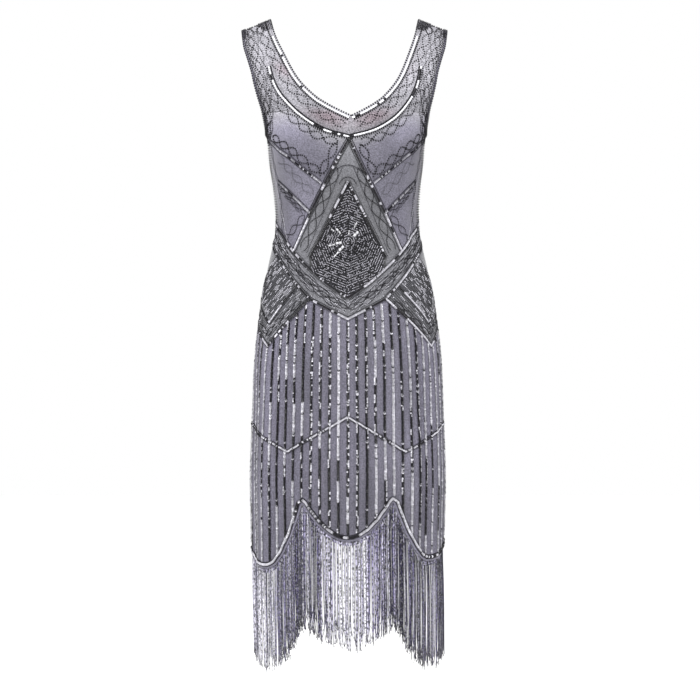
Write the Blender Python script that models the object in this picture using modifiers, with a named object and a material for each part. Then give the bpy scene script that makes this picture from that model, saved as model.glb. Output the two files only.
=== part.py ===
"""Flapper dress, filled out: hollow lined body, net yoke with straps, bindings and thread fringe.

Metres. +X is the wearer's left, the front faces -Y and +Z is up. The origin lies midway between
the two straps on the crest of the shoulders, where the wearer carries the dress.
"""

import math

import bmesh
import bpy
import numpy as np

MM = 0.001

BODY_WALL = 1.6 * MM  # net and lining together
NET_WALL = 1.1 * MM  # unlined net of the yoke
BINDING_WIDTH = 4.5 * MM
BINDING_THICK = 1.1 * MM
BINDING_LIFT = 1.0 * MM
BINDING_OVER = 0.6 * MM  # how far the binding stands over the opening
SEAM_HALF_GAP = 0.39 * MM
EDGE_GAP = 0.5 * MM

UNDERARM_Z = -199.5  # height of the lowest point of each armhole, mm
FLAT_Z = -770.0  # last straight row above the scallops, mm
CREST_SLOPE = 0.39  # fall of the shoulder per mm beyond the inner edge of the strap
CREST_FADE = 130.0  # depth over which that fall dies out, mm

STRANDS = 72  # strands on each fringe
STRAND_SHARE = 0.62  # strand width as a share of the pitch
FRINGE_HEAD = 8.0 * MM
FRINGE_WALL = 1.5 * MM
FRINGE_GAP = 2.0 * MM

# Sections of the hollow form, mm: height, depth of the front, depth of the back, half width, sway
SECTIONS = (
    (0, 0, 0, 250, 0.0),
    (-4, 26, 26, 250, 0.0),
    (-11, 44, 46, 250, 0.0),
    (-22, 57, 61, 250, 0.0),
    (-38, 67.5, 75, 248, 0.0),
    (-58, 76, 86, 242, 0.0),
    (-80, 87, 95, 232, 0.2),
    (-105, 98, 102, 217, 0.6),
    (-130, 108, 107, 195, 1.2),
    (-155, 117, 109, 167, 2.0),
    (-178, 125, 108, 148, 2.5),
    (-199.5, 131, 106, 138.4, 2.8),
    (-225, 136, 103, 135.0, 3.0),
    (-250, 138, 99, 133.0, 3.0),
    (-275, 134, 93, 129.5, 3.2),
    (-300, 125, 86, 126.5, 3.6),
    (-325, 115, 80, 124.5, 4.0),
    (-350, 109, 78, 124.0, 4.5),
    (-375, 107, 80, 125.5, 4.8),
    (-400, 108, 86, 132.0, 5.0),
    (-435, 111, 96, 140.0, 5.2),
    (-475, 114, 107, 148.5, 5.5),
    (-520, 116, 115, 154.5, 5.8),
    (-570, 117.5, 119, 160.0, 6.0),
    (-620, 118, 120, 163.5, 6.0),
    (-680, 117, 119, 165.5, 6.0),
    (-740, 116, 117.5, 168.0, 6.0),
    (-800, 116, 116, 169.5, 6.0),
    (-860, 115.5, 115, 168.5, 6.0),
    (-920, 115, 114.5, 167.5, 6.0),
    (-1000, 115, 114, 168.5, 7.0),
    (-1140, 114, 113, 167.0, 8.5),
)

# Lean of the middle of the dress towards its left side, mm: height, shift; the sides stay in place
LEAN = (
    (0, 0.0),
    (-32, 5.0),
    (-65, 8.4),
    (-98, 9.0),
    (-177, 9.0),
    (-215, 5.0),
    (-260, 3.0),
    (-320, 2.0),
    (-390, 1.2),
    (-480, 0.0),
)
LEAN_REACH = 135.0  # distance from the centre line where the lean has died out, mm

# Edge of the neck, mm: height on the form, distance from the centre line
NECK = (
    (0, 129),
    (-31.7, 120.4),
    (-65, 107),
    (-98, 92),
    (-120, 78),
    (-141.5, 58.1),
    (-153, 43),
    (-164, 25),
    (-177, 0),
)

# Edge of the armhole, mm: height on the form, distance from the centre line
ARMHOLE = (
    (0, 178.5),
    (-16, 177),
    (-45, 173.7),
    (-71, 167),
    (-95, 160.7),
    (-117, 156.2),
    (-138, 150.9),
    (-158, 144.9),
    (-178, 140.8),
    (-191, 138.6),
    (-199.5, 138.4),
)

# Top edge of the lining, mm: distance from the centre line, height
LINING_TOP = (
    (0, -213),
    (30, -206),
    (64, -190),
    (99, -167),
    (123, -166),
    (160, -165),
)

# Rows of the yoke, mm: height at the neck edge, height at the armhole edge
YOKE_ROWS = (
    (0, 0),
    (-4, -4),
    (-12, -12),
    (-26, -24),
    (-45, -41),
    (-68, -60),
    (-90, -79),
    (-110, -96),
    (-127, -111),
    (-142, -124),
    (-154, -135),
    (-165, -144),
    (-177, -152),
)

# Rows of the lined body, mm: height on the centre line, height at the armhole or side seam
BODY_ROWS = (
    (-222, -174),
    (-231, -183),
    (-240, -192),
    (-249, -199.5),
    (-256, -206),
    (-265, -217),
    (-277, -234),
    (-291, -258),
    (-307, -284),
    (-331, -314),
    (-356, -344),
    (-383, -376),
    (-413, -409),
    (-446, -444),
    (-484, -484),
    (-530, -530),
    (-580, -580),
    (-640, -640),
    (-705, -705),
    (-770, -770),
)
HEM_ROWS = (0.35, 0.7, 1.0)  # shares of the way from the last straight row to the scalloped edge

# Scallops of the hem, mm: share of the quarter's length, height of the edge on the right side of the
# dress and on its left, height of the fringe's ends on the right and on the left
SCALLOPS = (
    (0.0, -903, -903, -1086, -1086),
    (0.355, -838, -836, -1046, -1045),
    (0.682, -953, -940, -1127, -1123),
    (1.0, -926, -912, -1100, -1098),
)
COLUMNS_PER_ARC = 4

# Soft flutes of the skirt: number round the dress, phase in degrees, height in mm at the hem
FLUTES = (
    (7, 140, 1.1),
    (11, 20, 1.4),
    (17, 75, 0.9),
)
FLUTE_START = -470.0
FLUTE_FULL = -850.0


def smooth_rows(rows, start=None, steps=24):
    """Smooth curve through the rows; start is the row that would come before the first."""
    rows = [np.array(row, float) for row in rows]
    before = 2 * rows[0] - rows[1] if start is None else np.array(start, float)
    after = 2 * rows[-1] - rows[-2]
    points = [before] + rows + [after]
    dense = []
    for i in range(1, len(points) - 2):
        a, b, c, d = points[i - 1 : i + 3]
        for k in range(steps):
            t = k / steps
            dense.append(
                0.5
                * (2 * b + (c - a) * t + (2 * a - 5 * b + 4 * c - d) * t**2 + (3 * b - a - 3 * c + d) * t**3)
            )
    dense.append(rows[-1])
    return np.array(dense)


FORM = smooth_rows(SECTIONS, start=(-4, -26, -26, 250, 0))
NECK_CURVE = smooth_rows(NECK)
ARM_CURVE = smooth_rows(ARMHOLE)
TOP_CURVE = smooth_rows(LINING_TOP, start=(-30, -206))
LEAN_DEPTHS = [-z for z, _ in LEAN]
LEAN_SHIFTS = [shift for _, shift in LEAN]


def form_at(z):
    """Depth of the front, depth of the back, half width and sway of the form at a height in mm."""
    return [np.interp(-z, -FORM[:, 0], FORM[:, i]) for i in range(1, 5)]


def neck_x(z):
    return np.interp(-z, -NECK_CURVE[:, 0], NECK_CURVE[:, 1])


def arm_x(z):
    return np.interp(-z, -ARM_CURVE[:, 0], ARM_CURVE[:, 1])


def lining_top(x):
    return np.interp(abs(x), TOP_CURVE[:, 0], TOP_CURVE[:, 1])


def flute(theta, facing, z):
    """Height of the flutes in mm at an angle from the middle of the front or back."""
    ramp = min(max((z - FLUTE_START) / (FLUTE_FULL - FLUTE_START), 0.0), 1.0)
    around = theta if facing < 0 else math.pi - theta
    waves = sum(h * math.sin(n * around + math.radians(p)) for n, p, h in FLUTES)
    return waves * ramp * ramp * (3 - 2 * ramp)


def surface(sine, cosine, z, facing, out=0.0):
    """Point of the outer surface in metres. facing is -1 for the front and 1 for the back."""
    front, back, half, sway = form_at(z)
    depth = front if facing < 0 else back
    x = half * sine
    lean = np.interp(-z, LEAN_DEPTHS, LEAN_SHIFTS) * max(0.0, 1 - (x / LEAN_REACH) ** 2)
    y = facing * depth * cosine
    normal = np.array([sine / half, facing * cosine / max(depth, 1.0), 0.0])
    normal /= np.linalg.norm(normal)
    lift = flute(math.atan2(sine, cosine), facing, z) + out / MM
    fade = max(0.0, 1 + z / CREST_FADE) ** 2
    fall = CREST_SLOPE * max(0.0, abs(x) - 129) * fade
    return np.array([x + sway + lean, y, z - fall]) * MM + normal * lift * MM


def on_form(x, z, facing):
    """Point of the form at a distance x from the centre line, mm."""
    half = form_at(z)[2]
    sine = max(-1.0, min(1.0, x / half))
    return surface(sine, math.sqrt(1 - sine * sine), z, facing)


def quarter_arc(half, depth, count=400):
    """Angles from the middle of the front to the side seam, with the share of the arc each reaches."""
    theta = np.linspace(0, math.pi / 2, count)
    step = np.hypot(half * np.cos(theta), depth * np.sin(theta))
    run = np.concatenate([[0], np.cumsum((step[1:] + step[:-1]) / 2)])
    return theta, run / run[-1]


ARC_THETA, ARC_SHARE = quarter_arc(168.0, 115.3)


def theta_at(share):
    return np.interp(share, ARC_SHARE, ARC_THETA)


def hem_at(share):
    """Heights of the scalloped edge and of the fringe's ends, mm; the share is negative on the right."""
    edge = 1 if share < 0 else 2
    for upper, lower in zip(SCALLOPS, SCALLOPS[1:]):
        if abs(share) <= lower[0] + 1e-9:
            t = (abs(share) - upper[0]) / (lower[0] - upper[0])
            rise = t * t if lower[edge] > upper[edge] else 1 - (1 - t) ** 2
            return [upper[i] + (lower[i] - upper[i]) * rise for i in (edge, edge + 2)]
    return [SCALLOPS[-1][i] for i in (edge, edge + 2)]


def column_shares():
    shares = [0.0]
    for (start, *_), (stop, *_) in zip(SCALLOPS, SCALLOPS[1:]):
        shares += [start + (stop - start) * (k + 1) / COLUMNS_PER_ARC for k in range(COLUMNS_PER_ARC)]
    return shares


SHARES = column_shares()
THETAS = [float(theta_at(s)) for s in SHARES]
SINES = [math.sin(t) for t in THETAS]
COLUMNS = len(SHARES)

collection = bpy.data.collections.new("flapper_dress")


def clear_scene():
    for thing in list(bpy.data.objects):
        bpy.data.objects.remove(thing, do_unlink=True)


def material(name, colour, roughness, sheen=0.0):
    mat = bpy.data.materials.new(name)
    mat.use_nodes = True
    shader = mat.node_tree.nodes["Principled BSDF"]
    shader.inputs["Base Color"].default_value = (*colour, 1.0)
    shader.inputs["Roughness"].default_value = roughness
    shader.inputs["Sheen Weight"].default_value = sheen
    return mat


def finish_mesh(name, bm, mat):
    mesh = bpy.data.meshes.new(name)
    bm.to_mesh(mesh)
    bm.free()
    mesh.materials.append(mat)
    mesh.polygons.foreach_set("use_smooth", [True] * len(mesh.polygons))
    thing = bpy.data.objects.new(name, mesh)
    collection.objects.link(thing)
    return thing


def cloth(name, half_rows, facing, wall, mat):
    """Sheet from rows of points of the left half, mirrored by the same rule, then made a wall."""
    bm = bmesh.new()
    for side in (-1, 1):
        grid = [[bm.verts.new(point(side)) for point in row] for row in half_rows]
        for upper, lower in zip(grid, grid[1:]):
            for c in range(len(upper) - 1):
                quad = [upper[c], upper[c + 1], lower[c + 1], lower[c]]
                if side * facing < 0:
                    quad.reverse()
                bm.faces.new(quad)
    bmesh.ops.remove_doubles(bm, verts=bm.verts, dist=1e-6)
    thing = finish_mesh(name, bm, mat)
    solid = thing.modifiers.new("wall", "SOLIDIFY")
    solid.thickness = wall
    solid.offset = -1.0
    solid.use_even_offset = True
    solid.use_rim = True
    return thing


def edge_point(x, z, facing):
    return lambda side: on_form(side * x, z, facing)


def seam_point(sine, cosine, z, facing, seam=False):
    """Point on the tube; a point on the side seam stands back by half the seam's gap."""

    def place(side):
        p = surface(side * sine, cosine, z, facing)
        if seam:
            p[1] = facing * SEAM_HALF_GAP
        return p

    return place


def yoke_half(facing):
    """Rows of the yoke from the shoulder seam down to the top edge of the lining."""
    rows = []
    last = len(YOKE_ROWS) + 1
    bottom_x = arm_x(-165.0)
    for i in range(last + 1):
        blend = min(1.0, i / last)
        row = []
        for k in range(COLUMNS):
            even = k / (COLUMNS - 1)
            part = even + (SINES[k] - even) * blend
            x_low = bottom_x * SINES[k]
            z_low = lining_top(x_low) + EDGE_GAP / MM
            if i < len(YOKE_ROWS):
                z_in, z_out = YOKE_ROWS[i]
                x = neck_x(z_in) + (arm_x(z_out) - neck_x(z_in)) * part
                z = z_in + (z_out - z_in) * part
            elif i < last:
                z_in, z_out = YOKE_ROWS[-1]
                x = (arm_x(z_out) * part + x_low) / 2
                z = (z_in + (z_out - z_in) * part + z_low) / 2
            else:
                x = x_low
                z = z_low
            row.append(edge_point(x, z, facing))
        rows.append(row)
    for k in range(COLUMNS):
        rows[0][k] = shoulder_point(rows[0][k], facing)
    return rows


def shoulder_point(place, facing):
    """The same point, stood back from the shoulder seam by half its gap."""

    def moved(side):
        p = place(side)
        p[1] = facing * SEAM_HALF_GAP
        return p

    return moved


def body_half(facing):
    """Rows of the lined body from the top edge of the lining down to the scallops."""
    bottom_x = arm_x(-165.0)
    top = [(bottom_x * s, lining_top(bottom_x * s)) for s in SINES]
    rows = [[edge_point(x, z, facing) for x, z in top]]
    span = top[-1][1] - top[0][1]
    for i, (z_in, z_out) in enumerate(BODY_ROWS):
        keep = max(0.0, 1 - (i + 1) / 8)
        row = []
        for k in range(COLUMNS):
            shape = keep * (top[k][1] - top[0][1]) / span + (1 - keep) * SINES[k] ** 2
            z = z_in + (z_out - z_in) * shape
            if z_out > UNDERARM_Z:
                row.append(edge_point(arm_x(z_out) * SINES[k], z, facing))
            else:
                row.append(seam_point(SINES[k], math.cos(THETAS[k]), z, facing, k == COLUMNS - 1))
        rows.append(row)
    for part in HEM_ROWS:
        rows.append([hem_point(k, part, facing) for k in range(COLUMNS)])
    return rows


def hem_point(k, part, facing):
    """Point of a column at a share of the way from the last straight row to the scalloped edge."""

    def place(side):
        z = FLAT_Z + (hem_at(side * SHARES[k])[0] - FLAT_Z) * part
        return seam_point(SINES[k], math.cos(THETAS[k]), z, facing, k == COLUMNS - 1)(side)

    return place


def edge_run(table, facing, side, spacing):
    """Points and outward normals down one edge, from the crest of the shoulder."""
    dense = np.array([on_form(side * x, z, facing) for z, x in table])
    run = np.concatenate([[0], np.cumsum(np.linalg.norm(np.diff(dense, axis=0), axis=1))])
    count = max(3, int(round(run[-1] / spacing)) + 1)
    at = np.linspace(0, run[-1], count)
    heights = np.interp(at, run, table[:, 0])
    widths = np.interp(at, run, table[:, 1])
    points = []
    for z, x in zip(heights, widths):
        points.append((on_form(side * x, z, facing), form_normal(side * x, z, facing)))
    return points


def form_normal(x, z, facing):
    """Outward normal of the form, from two short steps along it."""
    half = form_at(z)[2]
    across = on_form(min(x + 1, half), z, facing) - on_form(max(x - 1, -half), z, facing)
    up = on_form(x, min(0.0, z + 1), facing) - on_form(x, z - 1, facing)
    normal = np.cross(across, up) * -facing
    return normal / np.linalg.norm(normal)


def binding(name, loop, mat):
    """Flat band along a closed edge, lying on the cloth just below or beside the opening."""
    points = np.array([p for p, _ in loop])
    normals = np.array([n for _, n in loop])
    ahead = np.roll(points, -1, axis=0) - np.roll(points, 1, axis=0)
    ahead /= np.linalg.norm(ahead, axis=1)[:, None]
    normals -= (normals * ahead).sum(1)[:, None] * ahead
    normals /= np.linalg.norm(normals, axis=1)[:, None]
    across = np.cross(normals, ahead)
    if across[int(np.argmin(points[:, 2])), 2] > 0:
        across = -across
    bm = bmesh.new()
    rings = []
    for p, n, w in zip(points, normals, across):
        inner = p + n * BINDING_LIFT - w * BINDING_OVER
        outer = inner + n * BINDING_THICK
        reach = w * BINDING_WIDTH
        rings.append([bm.verts.new(c) for c in (inner, inner + reach, outer + reach, outer)])
    for ring, after in zip(rings, rings[1:] + rings[:1]):
        for k in range(4):
            bm.faces.new((ring[k], ring[(k + 1) % 4], after[(k + 1) % 4], after[k]))
    bmesh.ops.recalc_face_normals(bm, faces=bm.faces)
    return finish_mesh(name, bm, mat)


def neck_loop():
    """Right round the neck, from the crest of one shoulder over the front and back again."""
    loop = []
    for facing, side, down in ((-1, 1, True), (-1, -1, False), (1, -1, True), (1, 1, False)):
        run = edge_run(NECK_CURVE, facing, side, 13 * MM)
        loop += (run if down else run[::-1])[:-1]
    return loop


def armhole_loop(side):
    front = edge_run(ARM_CURVE, -1, side, 9 * MM)
    back = edge_run(ARM_CURVE, 1, side, 9 * MM)
    return front[:-1] + back[::-1][:-1]


def hem_edge(facing):
    """Corners of the scalloped edge of the body, from one side seam to the other."""
    corners = []
    for side, k in [(-1, k) for k in range(COLUMNS - 1, 0, -1)] + [(1, k) for k in range(COLUMNS)]:
        corners.append(hem_point(k, 1.0, facing)(side))
    return np.array([s * -1 for s in SHARES[:0:-1]] + SHARES), np.array(corners)


def fringe(name, facing, mat):
    """Heading strip just under the scalloped edge, with a strand hanging from every other cell."""
    pitch = 2.0 / STRANDS
    margin = pitch * (1 - STRAND_SHARE) / 2
    cuts = [-1.0]
    for i in range(STRANDS):
        cuts += [-1.0 + i * pitch + margin, -1.0 + (i + 1) * pitch - margin]
    cuts.append(1.0)
    at, edge = hem_edge(facing)
    inward = np.array([form_inward(share, facing) for share in cuts])
    bm = bmesh.new()
    sections = []
    for share, n in zip(cuts, inward):
        top = np.array([np.interp(share, at, edge[:, i]) for i in range(3)])
        top[2] -= FRINGE_GAP
        low = top - np.array([0, 0, FRINGE_HEAD])
        wall = n * FRINGE_WALL
        sections.append([bm.verts.new(p) for p in (top, low, low + wall, top + wall)])
    for i, (here, after) in enumerate(zip(sections, sections[1:])):
        for k in (0, 2, 3):
            bm.faces.new((here[k], here[(k + 1) % 4], after[(k + 1) % 4], after[k]))
        root = (here[1], here[2], after[2], after[1])
        if i % 2 == 0:
            bm.faces.new(root)
            continue
        middle = (cuts[i] + cuts[i + 1]) / 2
        end = hem_at(middle)[1] + 3.0 * math.sin(37.0 * i + 5.0 * facing)
        tip = []
        for share, out in ((cuts[i], 0.1), (cuts[i], 0.9), (cuts[i + 1], 0.9), (cuts[i + 1], 0.1)):
            share = middle + (share - middle) * 0.8
            theta = float(theta_at(abs(share)))
            sine = math.copysign(math.sin(theta), share)
            tip.append(bm.verts.new(surface(sine, math.cos(theta), end, facing, -out * FRINGE_WALL)))
        for k in range(4):
            bm.faces.new((root[k], root[(k + 1) % 4], tip[(k + 1) % 4], tip[k]))
        bm.faces.new(tip)
    bm.faces.new(sections[0])
    bm.faces.new(sections[-1])
    bmesh.ops.recalc_face_normals(bm, faces=bm.faces)
    return finish_mesh(name, bm, mat)


def form_inward(share, facing):
    """Inward level normal of the skirt at a share of the half round."""
    theta = float(theta_at(abs(share)))
    sine = math.copysign(math.sin(theta), share)
    out = surface(sine, math.cos(theta), -900.0, facing, 1 * MM)
    step = surface(sine, math.cos(theta), -900.0, facing) - out
    if abs(share) > 0.999:
        step[1] = 0.0
    return step / np.linalg.norm(step)


clear_scene()
bpy.context.scene.collection.children.link(collection)

BODY_CLOTH = material("body_cloth", (0.22, 0.21, 0.26), 0.6, 0.3)
NET = material("net", (0.42, 0.41, 0.46), 0.7, 0.2)
EDGING = material("edging", (0.05, 0.05, 0.07), 0.4)
THREAD = material("fringe_thread", (0.32, 0.31, 0.42), 0.55, 0.4)

cloth("front_panel", body_half(-1), -1, BODY_WALL, BODY_CLOTH)
cloth("back_panel", body_half(1), 1, BODY_WALL, BODY_CLOTH.copy())
cloth("front_yoke", yoke_half(-1), -1, NET_WALL, NET)
cloth("back_yoke", yoke_half(1), 1, NET_WALL, NET.copy())
binding("neck_binding", neck_loop(), EDGING)
binding("armhole_binding_left", armhole_loop(1), EDGING.copy())
binding("armhole_binding_right", armhole_loop(-1), EDGING.copy())
fringe("fringe_front", -1, THREAD)
fringe("fringe_back", 1, THREAD.copy())
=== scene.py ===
import math

import bpy
import numpy as np
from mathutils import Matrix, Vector


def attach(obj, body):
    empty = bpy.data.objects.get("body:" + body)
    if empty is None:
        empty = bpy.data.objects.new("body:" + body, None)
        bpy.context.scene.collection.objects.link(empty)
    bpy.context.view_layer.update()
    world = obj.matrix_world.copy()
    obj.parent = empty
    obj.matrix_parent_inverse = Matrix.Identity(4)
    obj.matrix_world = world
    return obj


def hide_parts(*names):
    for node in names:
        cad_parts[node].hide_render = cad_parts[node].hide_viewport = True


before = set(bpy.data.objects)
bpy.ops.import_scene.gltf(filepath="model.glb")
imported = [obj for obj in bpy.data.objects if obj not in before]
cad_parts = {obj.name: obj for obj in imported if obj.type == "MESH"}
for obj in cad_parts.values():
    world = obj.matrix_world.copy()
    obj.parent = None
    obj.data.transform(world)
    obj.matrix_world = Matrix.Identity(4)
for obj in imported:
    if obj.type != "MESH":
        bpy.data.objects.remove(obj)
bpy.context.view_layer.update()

MM = 0.001
UP, DOWN = (0, 0, 1), (0, 0, -1)
rng = np.random.default_rng(1926)

# ---------------------------------------------------------------- the form (same tables as the CAD)
# mm: height, depth of the front, depth of the back, half width, sway
SECTIONS = (
    (0, 0, 0, 250, 0.0), (-4, 26, 26, 250, 0.0), (-11, 44, 46, 250, 0.0), (-22, 57, 61, 250, 0.0),
    (-38, 67.5, 75, 248, 0.0), (-58, 76, 86, 242, 0.0), (-80, 87, 95, 232, 0.2), (-105, 98, 102, 217, 0.6),
    (-130, 108, 107, 195, 1.2), (-155, 117, 109, 167, 2.0), (-178, 125, 108, 148, 2.5),
    (-199.5, 131, 106, 138.4, 2.8), (-225, 136, 103, 135.0, 3.0), (-250, 138, 99, 133.0, 3.0),
    (-275, 134, 93, 129.5, 3.2), (-300, 125, 86, 126.5, 3.6), (-325, 115, 80, 124.5, 4.0),
    (-350, 109, 78, 124.0, 4.5), (-375, 107, 80, 125.5, 4.8), (-400, 108, 86, 132.0, 5.0),
    (-435, 111, 96, 140.0, 5.2), (-475, 114, 107, 148.5, 5.5), (-520, 116, 115, 154.5, 5.8),
    (-570, 117.5, 119, 160.0, 6.0), (-620, 118, 120, 163.5, 6.0), (-680, 117, 119, 165.5, 6.0),
    (-740, 116, 117.5, 168.0, 6.0), (-800, 116, 116, 169.5, 6.0), (-860, 115.5, 115, 168.5, 6.0),
    (-920, 115, 114.5, 167.5, 6.0), (-1000, 115, 114, 168.5, 7.0), (-1140, 114, 113, 167.0, 8.5),
)
# mm: height, shift of the middle of the dress towards its left side
LEAN = (
    (0, 0.0), (-32, 5.0), (-65, 8.4), (-98, 9.0), (-177, 9.0), (-215, 5.0), (-260, 3.0), (-320, 2.0),
    (-390, 1.2), (-480, 0.0),
)
LEAN_REACH = 135.0  # distance from the centre line where the lean has died out
# Openings and the lining's top edge, mm: height and half width, or half width and height
NECK = (
    (0, 129), (-31.7, 120.4), (-65, 107), (-98, 92), (-120, 78), (-141.5, 58.1), (-153, 43), (-164, 25),
    (-177, 0),
)
ARMHOLE = (
    (0, 178.5), (-16, 177), (-45, 173.7), (-71, 167), (-95, 160.7), (-117, 156.2), (-138, 150.9),
    (-158, 144.9), (-178, 140.8), (-191, 138.6), (-199.5, 138.4),
)
LINING_TOP = ((0, -213), (30, -206), (64, -190), (99, -167), (123, -166), (160, -165))
# heights of the net's rows at its inner and outer edge
YOKE_ROWS = (
    (0, 0), (-4, -4), (-12, -12), (-26, -24), (-45, -41), (-68, -60), (-90, -79), (-110, -96), (-127, -111),
    (-142, -124), (-154, -135), (-165, -144), (-177, -152),
)
# share of the quarter, height of the edge on the right and left, height of the fringe's ends on each
SCALLOPS = (
    (0.0, -903, -903, -1086, -1086),
    (0.355, -838, -836, -1046, -1045),
    (0.682, -953, -940, -1127, -1123),
    (1.0, -926, -912, -1100, -1098),
)
FLUTES = ((7, 140, 1.1), (11, 20, 1.4), (17, 75, 0.9))
FLUTE_START, FLUTE_FULL = -470.0, -850.0
CREST_SLOPE, CREST_FADE = 0.39, 130.0
STRAP_INNER = 129.0
LINING_END, UNDERARM = -165.0, -199.5  # heights where the lining's edge meets the armhole, and its foot
STRIPES = 14  # stripes on a quarter of the skirt
QUARTER_RUN = 224.0  # length of a quarter of the hips
PUCKER = 0.55  # rise of the cloth between two stripes


def smooth_rows(rows, start=None, steps=24):
    """Rows of a table with a smooth curve through them."""
    rows = [np.array(row, float) for row in rows]
    before = 2 * rows[0] - rows[1] if start is None else np.array(start, float)
    points = [before] + rows + [2 * rows[-1] - rows[-2]]
    dense = []
    for i in range(1, len(points) - 2):
        a, b, c, d = points[i - 1 : i + 3]
        for k in range(steps):
            t = k / steps
            bend, twist = 2 * a - 5 * b + 4 * c - d, 3 * b - a - 3 * c + d
            dense.append(0.5 * (2 * b + (c - a) * t + bend * t**2 + twist * t**3))
    dense.append(rows[-1])
    return np.array(dense)


FORM = smooth_rows(SECTIONS, start=(-4, -26, -26, 250, 0))
NECK_CURVE = smooth_rows(NECK)
ARM_CURVE = smooth_rows(ARMHOLE)
TOP_CURVE = smooth_rows(LINING_TOP, start=(-30, -206))
LEAN_DEPTHS = [-z for z, _ in LEAN]
LEAN_SHIFTS = [shift for _, shift in LEAN]


def form(z):
    """Depth of the front and back, half width and sway at a height."""
    return [np.interp(-np.asarray(z, float), -FORM[:, 0], FORM[:, i]) for i in range(1, 5)]


def neck_x(z):
    return np.interp(-z, -NECK_CURVE[:, 0], NECK_CURVE[:, 1])


def arm_x(z):
    return np.interp(-z, -ARM_CURVE[:, 0], ARM_CURVE[:, 1])


def lining_top(x):
    return np.interp(np.abs(x), TOP_CURVE[:, 0], TOP_CURVE[:, 1])


# share of the way round a quarter of the hips against the angle
_theta = np.linspace(0, math.pi / 2, 400)
_step = np.hypot(168.0 * np.cos(_theta), 115.3 * np.sin(_theta))
_run = np.concatenate([[0], np.cumsum((_step[1:] + _step[:-1]) / 2)])
_share = _run / _run[-1]


def quarter(w):
    """Share of the quarter, 0 at the middle of the front or back and 1 at a side seam."""
    w = np.asarray(w, float)
    return np.where(w > 1, np.abs(w - 2), np.abs(w))


def phi_of(w):
    """Angle round the dress: w is -1 to 1 over the front and 1 to 3 over the back."""
    w = np.asarray(w, float)
    front = np.sign(w) * np.interp(np.abs(w), _share, _theta)
    back = math.pi + np.sign(w - 2) * np.interp(np.abs(w - 2), _share, _theta)
    return np.where(w > 1, back, front)


def w_of(phi):
    """Reverse of phi_of."""
    phi = np.asarray(phi, float)
    phi = np.where(phi < -math.pi / 2 - 1e-9, phi + 2 * math.pi, phi)
    front = np.sign(phi) * np.interp(np.abs(phi), _theta, _share)
    back = 2 + np.sign(phi - math.pi) * np.interp(np.abs(phi - math.pi), _theta, _share)
    return np.where(phi > math.pi / 2 + 1e-9, back, front)


def phi_of_x(x, z, facing=-1):
    """Angle at a distance from the centre line; facing is -1 for the front and 1 for the back."""
    half = form(z)[2]
    theta = np.arcsin(np.clip(np.asarray(x, float) / half, -1, 1))
    return theta if facing < 0 else math.pi - theta


def hem_at(w):
    """Heights of the scalloped edge and of the fringe's ends."""
    w = np.asarray(w, float)
    q = quarter(w)
    edge, end = np.zeros_like(q), np.zeros_like(q)
    for column, side in ((1, (w < 0) | (w > 2)), (2, (w >= 0) & (w <= 2))):
        for above, below in zip(SCALLOPS, SCALLOPS[1:]):
            t = np.clip((q - above[0]) / (below[0] - above[0]), 0, 1)
            rise = t * t if below[column] > above[column] else 1 - (1 - t) ** 2
            here = side & (q >= above[0] - 1e-9) & (q <= below[0] + 1e-9)
            edge = np.where(here, above[column] + (below[column] - above[column]) * rise, edge)
            end = np.where(here, above[column + 2] + (below[column + 2] - above[column + 2]) * rise, end)
    return edge, end


# Creases: w, height of the middle, half length, half width in w, depth in mm, lean in w per mm
CREASES = [
    (rng.uniform(-1, 3), rng.uniform(-820, -560), rng.uniform(70, 190), rng.uniform(0.03, 0.075),
     rng.uniform(-1.9, 1.5), rng.uniform(-0.0004, 0.0004))
    for _ in range(34)
]
CREASES += [
    (0.80, -345, 26, 0.11, -1.6, 0.0022), (-0.82, -350, 30, 0.12, -1.8, -0.0020),
    (0.70, -318, 20, 0.08, -1.1, 0.0026), (-0.66, -322, 22, 0.09, -1.2, -0.0024),
    (1.25, -350, 28, 0.12, -1.7, -0.0020), (2.75, -346, 26, 0.12, -1.6, 0.0022),
    (1.80, -352, 24, 0.14, -1.2, 0.0010), (0.62, -232, 34, 0.07, -1.3, 0.0016),
    (-0.60, -236, 36, 0.07, -1.4, -0.0016), (0.42, -262, 40, 0.05, 0.9, 0.0010),
    (-0.44, -258, 38, 0.05, 0.9, -0.0010), (1.45, -250, 50, 0.07, -1.3, 0.0008),
    (2.55, -246, 50, 0.07, -1.3, -0.0008),
]
# Lines of the design that run right round: share of the quarter on the left side and on the right, height
BORDER = ((0, 0, -523), (0.33, 0.33, -488), (0.765, 0.71, -569), (1.0, 1.0, -525))
BAND_UP = (
    (0, 0, -487), (0.18, 0.18, -463), (0.367, 0.367, -434), (0.60, 0.60, -398),
    (0.73, 0.73, -378), (1.0, 1.0, -350),
)
BAND_LOW = ((0, 0, -523), (0.33, 0.33, -488), (0.45, 0.45, -465), (0.73, 0.73, -415), (1.0, 1.0, -384))
HIP_UP = ((0.45, 0.45, -465), (0.765, 0.72, -528), (1.0, 1.0, -482))
ZIGZAG = ((0, 0, -690), (0.452, 0.48, -750), (0.90, 0.92, -706), (1.0, 1.0, -704))


def along(table, w):
    """Height of a line of the design."""
    table, w = np.array(table), np.asarray(w, float)
    left, right = (np.interp(quarter(w), table[:, i], table[:, 2]) for i in (0, 1))
    return np.where((w < 0) | (w > 2), right, left)


def of_side(table, side):
    """One side of a line of the design, as share and height."""
    return [(row[0 if side > 0 else 1], row[2]) for row in table]


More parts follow.
